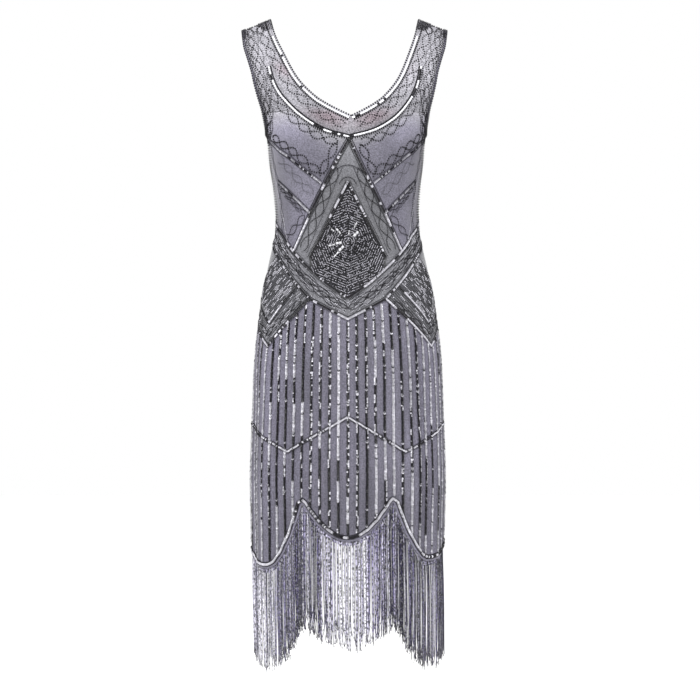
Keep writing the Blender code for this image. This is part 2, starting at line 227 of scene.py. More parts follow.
def relief(phi, z):
    """Height of flutes, creases and the pucker between stripes, mm."""
    ramp = np.clip((z - FLUTE_START) / (FLUTE_FULL - FLUTE_START), 0, 1)
    ramp = ramp * ramp * (3 - 2 * ramp)
    h = sum(a * np.sin(n * phi + math.radians(p)) for n, p, a in FLUTES) * ramp
    w = w_of(phi)
    for cw, cz, length, width, depth, lean in CREASES:
        across = (w - cw + 2) % 4 - 2 - lean * (z - cz)
        down = np.clip(np.abs(z - cz) / length, 0, 1)
        h = h + depth * np.exp(-((across / width) ** 2)) * (1 - down * down) ** 2
    skirt = np.clip((along(BORDER, w) - z) / 30, 0, 1)
    return h + skirt * PUCKER * np.cos(2 * math.pi * STRIPES * w)


def place(phi, z):
    """Point on the dress in metres, for an angle and a height in mm."""
    phi, z = np.broadcast_arrays(np.asarray(phi, float), np.asarray(z, float))
    front, back, half, sway = form(z)
    depth = np.where(np.cos(phi) > 0, front, back)
    nx, ny = np.sin(phi) / half, -np.cos(phi) / np.maximum(depth, 1.0)
    size = np.hypot(nx, ny)
    lift = relief(phi, z)
    x = half * np.sin(phi)
    fall = CREST_SLOPE * np.maximum(0, np.abs(x) - STRAP_INNER) * np.maximum(0, 1 + z / CREST_FADE) ** 2
    lean = np.interp(-z, LEAN_DEPTHS, LEAN_SHIFTS) * np.maximum(0, 1 - (x / LEAN_REACH) ** 2)
    y = -depth * np.cos(phi) + ny / size * lift
    return np.stack([x + sway + lean + nx / size * lift, y, z - fall], -1) * MM


def unit(v):
    return v / np.maximum(np.linalg.norm(v, axis=-1, keepdims=True), 1e-12)


def slopes(phi, z):
    """Steps of the surface for a small turn and a small rise, and its outward normal."""
    d, e = 0.004, 0.8  # turn in radians and rise in mm
    turn = (place(phi + d, z) - place(phi - d, z)) / (2 * d)
    up = np.minimum(0, z + e)
    rise = (place(phi, up) - place(phi, z - e)) / (up - z + e)[..., None]
    return turn, rise, unit(np.cross(turn, rise))


def nudge(phi, z, shift):
    """Moves points along the surface by a short step given in metres."""
    turn, rise, _ = slopes(phi, z)
    a, b, c = (turn * turn).sum(-1), (turn * rise).sum(-1), (rise * rise).sum(-1)
    p, q = (turn * shift).sum(-1), (rise * shift).sum(-1)
    det = a * c - b * b
    return phi + (c * p - b * q) / det, np.minimum(z + (a * q - b * p) / det, 0)


# ---------------------------------------------------------------- materials
def srgb(*c):
    """Linear colour of a screen colour, each of its parts 0 to 255."""
    return np.array([(x / 255 / 12.92) if x <= 10 else ((x / 255 + 0.055) / 1.055) ** 2.4 for x in c])


SATIN = srgb(82, 80, 91)
SKIRT = srgb(73, 71, 82)
FIELD = srgb(75, 75, 79)
NET = srgb(118, 117, 122)
BLUSH = srgb(114, 103, 109)
BLACK = srgb(12, 11, 15)
SILVER = srgb(136, 135, 141)
WHITE = srgb(186, 186, 190)
GREY = srgb(112, 111, 117)
DUSK = srgb(34, 33, 39)


def new_material(name):
    mat = bpy.data.materials.new(name)
    mat.use_nodes = True
    return mat


def fill(mat, node, inputs):
    """Sets a node's inputs, each to a number or tuple, or links it to another node's output."""
    for name, value in inputs.items():
        if isinstance(value, bpy.types.NodeSocket):
            mat.node_tree.links.new(value, node.inputs[name])
        else:
            node.inputs[name].default_value = value
    return node


def surface(mat, inputs):
    fill(mat, mat.node_tree.nodes["Principled BSDF"], inputs)
    return mat


def add_node(mat, kind, **inputs):
    return fill(mat, mat.node_tree.nodes.new(kind), inputs)


def tone_of(mat):
    """Colour that the mesh carries at each vertex."""
    node = add_node(mat, "ShaderNodeAttribute")
    node.attribute_name = "tone"
    return node.outputs["Color"]


def noise(mat, scale, detail, stretch=None):
    source = add_node(mat, "ShaderNodeTexCoord").outputs["Object"]
    if stretch:
        source = add_node(mat, "ShaderNodeMapping", Scale=stretch, Vector=source).outputs["Vector"]
    return add_node(mat, "ShaderNodeTexNoise", Scale=scale, Detail=detail, Vector=source).outputs["Fac"]


def clouded(mat, base, scale, detail, low, high, stretch=None, mode="MULTIPLY"):
    """Colour changed by noise; low and high are each a level of the noise and the grey there."""
    greys = add_node(mat, "ShaderNodeValToRGB", Fac=noise(mat, scale, detail, stretch))
    for stop, (at, grey) in zip(greys.color_ramp.elements, (low, high)):
        stop.position = at
        stop.color = (grey, grey, grey, 1)
    node = mat.node_tree.nodes.new("ShaderNodeMix")
    node.data_type = "RGBA"
    node.blend_type = mode
    return fill(mat, node, {"Factor": 1.0, "A": base, "B": greys.outputs["Color"]}).outputs["Result"]


def cloth_material(name, speckle, alpha=1.0, sheen=0.15, shine=0.3):
    """Net over satin: cloud of tone, fine speckle of the net's holes and a weave in the bump."""
    mat = new_material(name)
    base = clouded(mat, tone_of(mat), 14, 4, (0.3, 0.80), (0.7, 1.16), (1, 1, 0.45))
    base = clouded(mat, base, 480, 2, (0.40, 1 - speckle), (0.60, 1 + 0.8 * speckle))
    weave = add_node(mat, "ShaderNodeBump", Strength=0.35, Distance=0.0006, Height=noise(mat, 900, 2))
    looks = {"Base Color": base, "Normal": weave.outputs["Normal"], "Roughness": 0.52, "Alpha": alpha}
    return surface(mat, looks | {"Sheen Weight": sheen, "Sheen Roughness": 0.4, "Specular IOR Level": shine})


def glass_material(name, metal, rough, shine):
    mat = new_material(name)
    base = clouded(mat, tone_of(mat), 260, 2, (0.3, 0.72), (0.7, 1.25))
    looks = {"Base Color": base, "Metallic": metal, "Roughness": rough, "Specular IOR Level": shine}
    return surface(mat, looks)


def thread_material(name):
    """Rayon thread: dark and light lengths, with small glints."""
    mat = new_material(name)
    base = clouded(mat, tone_of(mat), 300, 1, (0.40, 0.15), (0.60, 1.6), (1.2, 1.2, 0.9))
    base = clouded(mat, base, 340, 1, (0.56, 0.0), (0.63, 0.13), (1.1, 1.1, 1.0), "ADD")
    looks = {"Base Color": base, "Roughness": 0.42, "Specular IOR Level": 0.2, "Sheen Weight": 0.1}
    return surface(mat, looks)


CLOTH = cloth_material("beaded_cloth", 0.34)
TULLE = cloth_material("yoke_net", 0.42, 0.86, 0.0, 0.0)
EDGING = cloth_material("edging_cloth", 0.2)
DARK = glass_material("dark_glass", 0.0, 0.4, 0.16)
BRIGHT = glass_material("silver_glass", 0.2, 0.42, 0.3)
THREAD = thread_material("fringe_thread")


# ---------------------------------------------------------------- mesh helpers
def new_piece(name, verts, faces, tone, mat, solid=None):
    """Mesh piece from arrays; tone is a linear colour for each vertex."""
    mesh = bpy.data.meshes.new(name)
    mesh.from_pydata(verts.reshape(-1, 3), [], faces)
    mesh.polygons.foreach_set("use_smooth", np.ones(len(mesh.polygons), bool))
    layer = mesh.color_attributes.new("tone", "FLOAT_COLOR", "POINT")
    rgba = np.concatenate([tone.reshape(-1, 3), np.ones((len(verts.reshape(-1, 3)), 1))], 1)
    layer.data.foreach_set("color", rgba.astype(np.float32).ravel())
    mesh.materials.append(mat)
    piece = bpy.data.objects.new(name, mesh)
    bpy.context.scene.collection.objects.link(piece)
    if solid:
        wall = piece.modifiers.new("wall", "SOLIDIFY")
        wall.thickness = solid * MM
        wall.offset = -1.0
        wall.use_rim = True
    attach(piece, "root")
    return piece


def grid_faces(rows, cols, flip=False, start=0):
    """Quads of a grid of points; flip turns them over, and start is the number of the first point."""
    r, c = np.meshgrid(np.arange(rows - 1), np.arange(cols - 1), indexing="ij")
    a = start + (r * cols + c).ravel()
    quad = np.stack([a, a + cols, a + cols + 1, a + 1], 1)
    return (quad[:, ::-1] if flip else quad).tolist()


# ---------------------------------------------------------------- cloth of the body
def top_table():
    """Angle in the quarter against the height of the body's top edge: lining, then armhole."""
    x = np.linspace(0, arm_x(LINING_END), 60)
    z = lining_top(x)
    theta = np.arcsin(x / form(z)[2])
    z2 = np.linspace(LINING_END, UNDERARM, 40)[1:]
    theta2 = np.arcsin(np.clip(arm_x(z2) / form(z2)[2], 0, 1))
    theta2[-1] = math.pi / 2
    theta = np.maximum.accumulate(np.concatenate([theta, theta2]))
    return theta, np.concatenate([z, z2])


TOP_THETA, TOP_Z = top_table()


def big_v(z):
    """Half width of the long V of the bodice at a height."""
    return np.interp(-z, (215, 333, 404, 487), (0, 60, 90, 125))


# Corners of the medallion: half width and height
MEDALLION = np.array(((0, -289), (66, -418), (65, -442), (0, -487)), float)


def in_medallion(x, z):
    side = np.interp(-z, -MEDALLION[:, 1], MEDALLION[:, 0])
    top, bottom = MEDALLION[0, 1], MEDALLION[-1, 1]
    return (np.abs(x) < side) & (z < top) & (z > bottom)


def body_tone(phi, z):
    """Ground colour of each part of the design, with painted light and shade on the cups and painted shade
    at the bodice's sides.
    """
    w = w_of(phi)
    x = form(z)[2] * np.sin(phi)
    tone = np.empty(z.shape + (3,))
    rim = np.clip((z - lining_top(x) + 30) / 30, 0, 1)[..., None]
    tone[:] = SATIN * (1 - rim) + NET * 0.57 * rim
    low, up, edge = along(BAND_LOW, w), along(BAND_UP, w), along(BORDER, w)
    front = np.cos(phi) > 0
    # painted light and shade: from the lining's top down to under the bust the cloth is lighter above and
    # darker below, as light from above falls on the cups
    tone *= np.interp(-z, (165, 185, 205, 222, 240, 262), (1.85, 1.65, 1.16, 0.86, 0.72, 0.72))[..., None]
    tone[(z > up) & front & (np.abs(x) < big_v(z)) & (z < -215)] = FIELD
    tone[in_medallion(x, z) & front] = FIELD * 0.24
    tone[(z <= up) & (z > low)] = FIELD
    tone[(z <= low) & (z > edge)] = FIELD * 0.78
    tone *= np.where(z > edge, 1 + 0.5 * np.clip(quarter(w) - 0.35, 0, 1) / 0.65, 1)[..., None]
    tone[z <= edge] = SKIRT
    streak = np.interp(w, np.linspace(-1, 3, 900), np.random.default_rng(7).uniform(0.86, 1.12, 900))
    low_skirt = np.interp(-z, (480, 760, 840), (0.95, 0.95, 0.82))
    sides = 1 + 0.40 * np.clip((quarter(w) - 0.45) / 0.3, 0, 1)
    tone *= np.where(z <= edge, streak * low_skirt * sides, 1)[..., None]
    side = (z > up) & (z < -262 + 0.7 * (np.abs(x) - 80)) & (np.abs(x) >= big_v(z))
    tone[side & front] = SATIN * 0.95
    # painted shade: the bodice darkens towards the side seams above the waist, against the sheen the light
    # gives there at a slant
    tone *= 1 - 0.42 * (np.clip((quarter(w) - 0.82) / 0.14, 0, 1) * np.clip((z + 400) / 30, 0, 1))[..., None]
    hem = hem_at(w)[0]
    tone[z < hem + 10] = SKIRT * 1.3
    return tone


def body_cloth(name, w0, w1, node, cols=181, rows=156):
    """Shell of one body panel, from the lining's top edge and the armholes to the scallops."""
    w = np.linspace(w0, w1, cols)
    inset = 0.25 / QUARTER_RUN
    w[0] += inset
    w[-1] -= inset
    q = quarter(w)
    theta = np.interp(q, _share, _theta)
    top = np.interp(theta, TOP_THETA, TOP_Z)
    hem = hem_at(w)[0]
    f = np.linspace(0, 1, rows)[:, None]
    z = top + (hem - top) * f
    phi = np.broadcast_to(phi_of(w), z.shape)
    verts = place(phi, z)
    piece = new_piece(name, verts, grid_faces(rows, cols), body_tone(phi, z), CLOTH, 1.0)
    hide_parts(node)
    return piece


front_cloth = body_cloth("front_cloth", -1.0, 1.0, "front_panel")
back_cloth = body_cloth("back_cloth", 1.0, 3.0, "back_panel")


# ---------------------------------------------------------------- net of the yoke
def yoke(name, facing, node, rows=64, cols=22):
    """Shell of the net at the front or back: one strap and half of the yoke for each side."""
    rows_in = np.array(YOKE_ROWS, float)
    verts, tones, faces = [], [], []
    s = np.linspace(0, 1, cols)
    last = len(YOKE_ROWS) - 1
    end = last + 2  # from the last row down to the lining's edge
    for side in (-1, 1):
        start = sum(len(v) for v in verts)
        grid = []
        for r in np.linspace(0, end, rows):
            i = min(r, last)
            z_in, z_out = (np.interp(i, np.arange(last + 1), rows_in[:, k]) for k in (0, 1))
            blend = r / end
            part = s + (np.sin(s * math.pi / 2) - s) * blend
            x = neck_x(z_in) + (arm_x(z_out) - neck_x(z_in)) * part
            z = z_in + (z_out - z_in) * part
            if r > last:
                t = (r - last) / (end - last)
                x_low = arm_x(LINING_END) * np.sin(s * math.pi / 2)
                x = x * (1 - t) + x_low * t
                z = z * (1 - t) + (lining_top(x_low) + 0.4) * t
            grid.append(place(phi_of_x(side * x, z, facing), z))
        verts.append(np.array(grid).reshape(-1, 3))
        faces += grid_faces(rows, cols, side * facing < 0, start)
        dark = 1 - 0.12 * np.clip((s - 0.52) * 4, 0, 1)
        tone = NET[None, None] * np.broadcast_to(dark[None, :, None], (rows, cols, 1))
        share = np.arange(rows)[:, None] / rows
        at_neck = 0.9 * np.exp(-(((share - 0.88) / 0.07) ** 2))
        at_strap = (0.6 if side < 0 else 0.1) * np.exp(-(((share - 0.45) / 0.05) ** 2))
        pink = np.exp(-(((s[None, :] - 0.18) / 0.16) ** 2)) * (at_neck + at_strap)
        tone = tone * (1 - pink[..., None]) + BLUSH * pink[..., None]
        # painted shade: the net darkens up onto the strap's crest, which the light from above shows too
        # bright
        painted_crest_shade = np.interp(share, (0, 0.02, 0.07), (0.5, 0.62, 1.0))
        inner = np.interp(share, (0, 0.15, 0.5, 0.72, 1), (1.0, 1.02, 1.18, 0.96, 0.62))
        outer = np.interp(share, (0, 0.15, 0.5, 0.72, 1), (1.0, 1.02, 1.20, 1.15, 1.05))
        blend_in = np.clip((s[None, :] - 0.25) / 0.2, 0, 1)
        tone = tone * (painted_crest_shade * (inner * (1 - blend_in) + outer * blend_in))[..., None]
        tones.append(tone.reshape(-1, 3))
    piece = new_piece(name, np.concatenate(verts), faces, np.concatenate(tones), TULLE, 0.7)
    weld = piece.modifiers.new("weld", "WELD")
    weld.merge_threshold = 0.00005
    piece.modifiers.move(1, 0)
    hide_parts(node)
    return piece


front_net = yoke("front_net", -1, "front_yoke")
back_net = yoke("back_net", 1, "back_yoke")


# ---------------------------------------------------------------- beads
def tube_faces(rings, n, start=0, closed=False):
    """Faces between rings of n corners each, and from the last ring to the first if closed."""
    faces = []
    for i in range(rings if closed else rings - 1):
        step = n if i < rings - 1 else -i * n
        for k in range(n):
            a, b = start + i * n + k, start + i * n + (k + 1) % n
            faces.append((a, b, b + step, a + step))
    return faces


def lathe(sections, n):
    """Closed bead about its long axis: (place along, radius) rows between two end points."""
    verts = [(sections[0][0], 0, 0)]
    for at, r in sections[1:-1]:
        verts += [(at, r * math.cos(t), r * math.sin(t)) for t in np.arange(n) * 2 * math.pi / n]
    verts.append((sections[-1][0], 0, 0))
    faces = [(0, 1 + (k + 1) % n, 1 + k) for k in range(n)] + tube_faces(len(sections) - 2, n, 1)
    last, base = len(verts) - 1, 1 + (len(sections) - 3) * n
    faces += [(last, base + k, base + (k + 1) % n) for k in range(n)]
    return np.array(verts, float), faces


def disc(n):
    """Cupped sequin: a shallow cone with a flat rim turned up."""
    rim = [(0.5 * math.cos(a), 0.5 * math.sin(a), 0.08) for a in np.arange(n) * 2 * math.pi / n]
    verts = [(0, 0, -0.12)] + rim
    return np.array(verts, float), [(0, 1 + k, 1 + (k + 1) % n) for k in range(n)]


SHAPES = {
    "seed": lathe(((-0.45, 0), (-0.22, 0.47), (0.22, 0.47), (0.45, 0)), 4),
    "dot": lathe(((-0.5, 0), (0, 0.5), (0.5, 0)), 4),
    "bugle": lathe(((-0.5, 0), (-0.5, 0.5), (0.5, 0.5), (0.5, 0)), 6),
    "sequin": disc(6),
}
SEQUIN_PITCH = 2.4
store = {}  # for each piece of beads: shape, corners and colours of each batch


def add_beads(name, shape, point, axes, size, tone):
    """Keeps one copy of a shape for each point in metres, along its three axes, with sizes in mm."""
    if len(point) == 0:
        return
    corners = SHAPES[shape][0]
    size = np.broadcast_to(np.asarray(size, float), (len(point), 3)) * MM
    verts = point[:, None]
    for i, axis in enumerate(axes):
        verts = verts + axis[:, None] * (corners[None, :, i : i + 1] * size[:, None, i : i + 1])
    tone = np.broadcast_to(np.asarray(tone, float), (len(point), 3))
    store.setdefault(name, []).append((shape, verts, tone))


def put(name, shape, phi, z, direction, size, tone, lift):
    """Adds beads that lie on the cloth; size is along, across and high in mm."""
    normal = slopes(phi, z)[2]
    ahead = unit(direction - (direction * normal).sum(-1, keepdims=True) * normal)
    point = place(phi, z) + normal * (lift * MM)
    add_beads(name, shape, point, (ahead, np.cross(normal, ahead), normal), size, tone)


def tilted_sequins(name, phi, z, direction, width, tone, lift, roll=0.0):
    """Adds sequins whose own axis leans with the direction, like roof tiles, and rolls to a side."""
    normal = slopes(phi, z)[2]
    side = unit(np.cross(normal, direction))
    up = np.cross(direction, side)
    side, up = unit(side + up * roll), unit(up - side * roll)
    add_beads(name, "sequin", place(phi, z) + normal * lift * MM, (direction, side, up), width, tone)


def make_pieces():
    """Joins the beads of each name into one piece."""
    for name, batches in store.items():
        verts, faces, tones, start = [], [], [], 0
        for shape, v, tone in batches:
            n, k = v.shape[:2]
            verts.append(v.reshape(-1, 3))
            tones.append(np.repeat(tone, k, 0))
            offsets = (start + np.arange(n) * k)[:, None]
            for face in SHAPES[shape][1]:
                faces += (offsets + np.array(face)[None]).tolist()
            start += n * k
        kind, panel = name.split("_beads_")
        glass = DARK if kind == "dark" else BRIGHT
        new_piece(name, np.concatenate(verts), faces, np.concatenate(tones), glass)


def filled(points, steps):
    """Points added evenly along a broken line."""
    points = np.array(points, float)
    at = np.linspace(0, len(points) - 1, (len(points) - 1) * steps + 1)
    return np.stack([np.interp(at, np.arange(len(points)), points[:, k]) for k in (0, 1)], 1)


def curve_x(points, side, facing=-1, smooth=False, steps=24):
    """Line through (distance from the centre line, height) points, as angles and heights."""
    points = smooth_rows(points, steps=steps) if smooth else filled(points, steps)
    return phi_of_x(side * points[:, 0], points[:, 1], facing), points[:, 1]


def curve_w(points, side, back, steps=40):
    """Line through (share of the quarter, height) points, as angles and heights."""
    points = filled(points, steps)
    return phi_of(2 * back + side * points[:, 0]), points[:, 1]


def length_along(points):
    """Length from the start of a line to each of its points, mm."""
    return np.concatenate([[0], np.cumsum(np.linalg.norm(np.diff(points, axis=0), axis=1))]) / MM


def spaced(path, pitch, offset=0.0, toward=UP, start=0.5, stop=0.0):
    """Points along a path at a pitch in mm, moved sideways on the cloth by an offset."""
    phi, z = path
    points = place(phi, z)
    if offset:
        side = unit(np.cross(slopes(phi, z)[2], unit(np.gradient(points, axis=0))))
        if (side @ np.array(toward, float)).mean() < 0:
            side = -side
        phi, z = nudge(phi, z, side * offset * MM)
        points = place(phi, z)
    run = length_along(points)
    at = np.arange(start * pitch, run[-1] - stop, pitch)
    ahead = np.stack([np.interp(at, run, c) for c in unit(np.gradient(points, axis=0)).T], -1)
    return np.interp(at, run, phi), np.interp(at, run, z), ahead


def segments(count, lengths, weights):
    """Run of stretches along a line; each bead gets the number of its kind."""
    kinds = np.empty(count, int)
    i = 0
    while i < count:
        n = int(rng.integers(*lengths))
        kinds[i : i + n] = rng.choice(len(weights), p=weights)
        i += n
    return kinds


def jitter(tone, count, amount):
    return np.asarray(tone) * (1 + amount * rng.uniform(-1, 1, (count, 1)))


def seeds(panel, path, tone, size, pitch, offset=0.0, toward=UP, lift=0.8, dark=True):
    """Row of small beads."""
    p, h, ahead = spaced(path, pitch, offset, toward)
    name = ("dark_beads_" if dark else "silver_beads_") + panel
    put(name, "seed", p, h, ahead, size, jitter(tone, len(p), 0.3), lift)


def bugles(panel, path, pitch, width, offset, toward, lift, weights, run=(3, 9), start=0.5):
    """String of bugles: stretches of silver and dark, by weights."""
    p, h, ahead = spaced(path, pitch, offset, toward, start)
    kind = segments(len(p), run, weights)
    for k, (name, tone) in enumerate((("silver_beads_", WHITE), ("dark_beads_", BLACK))):
        m = kind == k
        size = (pitch * 0.94, width, width * 0.8)
        put(name + panel, "bugle", p[m], h[m], ahead[m], size, jitter(tone, m.sum(), 0.1), lift)


def side_shine(phi):
    """Sequins that turn to the side catch more light."""
    return 1 + 0.9 * np.clip(quarter(w_of(phi)) - 0.5, 0, 0.4)[:, None]


def sequins(panel, path, width, plan, offset=0.0, lift=1.0):
    """Row of overlapping sequins by a plan of (share of the line, kind).

    Kinds: 0 silver, 1 dark, 2 mixed, 3 dark with a few silver, 4 dark and silver dashes.
    """
    p, h, ahead = spaced(path, SEQUIN_PITCH, offset)
    n = len(p)
    ends, kinds = np.array(plan).T
    kind = kinds[np.searchsorted(ends, (np.arange(n) + 0.5) / n)].astype(int)
    dashes = segments(n, (1, 4), (0.4, 0.6))
    choices = (0 * kind, 1 + 0 * kind, rng.random(n) < 0.5, rng.random(n) < 0.85, dashes)
    kind = np.choose(kind, choices).astype(int)
    shine = side_shine(p)
    tilt = ahead + slopes(p, h)[2] * rng.uniform(0.1, 0.4, (n, 1)) + rng.normal(0, 0.1, (n, 3))
    looks = (("silver_beads_", SILVER * shine), ("dark_beads_", BLACK + 0 * shine))
    for k, (name, tone) in enumerate(looks):
        m = kind == k
        tilted_sequins(name + panel, p[m], h[m], unit(tilt[m]), width, jitter(tone[m], m.sum(), 0.2), lift)


def lined(panel, path, width, plan, rows, toward=UP, offset=0.0, lift=1.0, row_lift=0.8):
    """Row of sequins with rows of small beads beside it, each a tone, size, pitch and offset."""
    sequins(panel, path, width, plan, offset, lift)
    for tone, size, pitch, aside in rows:
        seeds(panel, path, tone, size, pitch, aside, toward, row_lift)


def stripe(panel, path, width, weights, lift):
    """Row of sequins down the skirt: silver, dark, and dark with silver ones turned up along one side."""
    p, h, ahead = spaced(path, SEQUIN_PITCH)
    n = len(p)
    kind = segments(n, (9, 46), weights)
    normal = slopes(p, h)[2]
    side = np.cross(normal, ahead)
    lean = unit(ahead + normal * rng.uniform(0.12, 0.42, (n, 1)) + side * rng.normal(0, 0.12, (n, 1)))
    roll = rng.normal(0, 0.2, (n, 1))
    p, h = nudge(p, h, side * rng.normal(0, 0.14, (n, 1)) * MM)
    shine = side_shine(p)
    odd = rng.random(n)
    silver = np.where(kind == 0, odd > 0.03, odd < 0.05)
    for m, name, tone in (
        (silver, "silver_beads_", SILVER * 0.95 * shine), (~silver, "dark_beads_", BLACK + 0 * shine),
    ):
        tone = jitter(tone[m], m.sum(), 0.3)
        tilted_sequins(name + panel, p[m], h[m], lean[m], width, tone, lift, roll[m])
    m = (kind == 2) & (segments(n, (1, 4), (0.5, 0.5)) == 1)
    edge = rng.choice((-1, 1)) * np.where(np.arange(n) % 37 < 30, 1, -0.4)[:, None]
    p, h = nudge(p, h, side * edge * width * 0.24 * MM)
    tone = jitter(SILVER, m.sum(), 0.3)
    tilted_sequins("silver_beads_" + panel, p[m], h[m], lean[m], width * 0.62, tone, lift + 0.8, roll[m])


def cable(
    panel, path, length, half, tone=BLACK, size=3.0, gap=4.4, offset=0.0, toward=UP, shear=0.3, ends=(0, 0)
):
    """Two crossing wavy strings of small beads, which enclose a row of pointed leaves."""
    p, h, ahead = spaced(path, 1.0, offset, toward, ends[0] + 0.5, ends[1])
    side = np.cross(slopes(p, h)[2], ahead)
    wave = half * np.sin(np.arange(len(p)) * math.pi / length)[:, None]
    for y in (wave, -wave):
        seeds(panel, nudge(p, h, (side * y + ahead * y * shear) * MM), tone, size, gap)


# Lines of the front, mm: distance from the centre line, height
SECOND = ((131, -88), (126, -110), (117, -132), (103, -152), (84, -173), (61, -191), (36, -204), (0, -214))
BIG_V = ((0, -217), (60, -333), (92, -405))
SIDE_UP = ((131, -214), (116, -232), (45, -291))
SIDE_LOW = ((119, -284), (64, -341))
neck_path = [(x, z) for z, x in NECK]
arm_path = [(x, z) for z, x in ARMHOLE]


def cluster(panel, side, facing, edge, width, depth):
    """Solid patch of dark beads in a corner of a strap, narrowing down its edge."""
    z = -np.linspace(0.2, depth**0.5, 300) ** 2
    run = np.concatenate([[0], np.cumsum(np.hypot(np.diff(z), np.diff(form(z)[0])))])
    z = np.interp(np.arange(0, run[-1], 2.5), run, z)
    for level in z:
        reach = width * (1 - 0.4 * (level / depth) ** 2)
        x = edge(level) + np.arange(0.5, abs(reach), 2.5) * np.sign(width)
        phi = phi_of_x(side * x, level, facing)
        size = rng.uniform(1.9, 2.8, (len(x), 1)) * (1, 1, 1)
        tone = np.where(rng.random((len(x), 1)) < 0.3, DUSK * 1.6, BLACK)
        ahead = np.array([(1.0, 0, 0)] * len(x))
        put("dark_beads_" + panel, "seed", phi, np.full(len(x), level), ahead, size, tone, 2.2)


# ---- yoke: rows along the neck, the armhole and the second line, leaf chains and the strap's corners
for facing, panel in ((-1, "yoke_front"), (1, "yoke_back")):
    for side in (-1, 1):
        into_neck, into_arm, inward = (side * 0.6, 0, -1), (-side, 0, -0.4), (-side, 0, 1)
        neck, second, arm = (curve_x(line, side, facing, True) for line in (neck_path, SECOND, arm_path))
        seeds(panel, neck, BLACK, 3.3, 4.6, 0.6, into_neck, 2.3)
        bugles(panel, neck, 5.0, 3.9, 5.2, into_neck, 1.6, (0.97, 0.03), (1, 2), 14.5)
        seeds(panel, neck, BLACK, 3.3, 3.9, 9.0, into_neck, 1.4)
        for size, pitch, offset, lift in ((3.3, 4.4, 0.6, 2.3), (2.6, 3.6, 3.6, 2.0), (2.4, 3.9, 6.6, 1.0)):
            seeds(panel, arm, BLACK, size, pitch, offset, into_arm, lift)
        bugles(panel, second, 5.2, 3.3, 0.0, inward, 1.5, (0.88, 0.12), (1, 5))
        bugles(panel, second, 5.2, 2.4, 3.4, inward, 1.3, (0, 1))
        seeds(panel, second, BLACK, 3.0, 4.2, -3.6, inward, 1.1)
        cable(panel, neck, 27, 6.6, offset=21.0, toward=into_neck, ends=(1, 4))
        cable(panel, second, 28, 6.6, offset=-13.5, toward=inward, ends=(38, 14))
        cable(panel, arm, 24, 5.0, offset=14.0, toward=into_arm, ends=(1, 4))
        cable(panel, arm, 15, 2.6, BLACK, 2.3, 3.8, 7.5, into_arm, ends=(24, 0))
        cable(panel, arm, 34, 3.4, BLACK, 2.3, 3.8, 23.0, into_arm, ends=(40, 16))
        cluster(panel, side, facing, neck_x, 23.0, 22)
        cluster(panel, side, facing, arm_x, -8.0, 26)
        seeds(panel, curve_x(((130, -0.2), (177, -0.2)), side, facing), BLACK, 3.2, 4.4, lift=1.0)
        for cx, cz in ((146, -17), (162, -20)):
            turn = np.linspace(0, 2 * math.pi, 16)
            loop = np.stack([cx + 5.5 * np.cos(turn), cz + 8.0 * np.sin(turn)], 1)
            seeds(panel, curve_x(loop, side, facing, steps=2), BLACK, 2.7, 3.6)

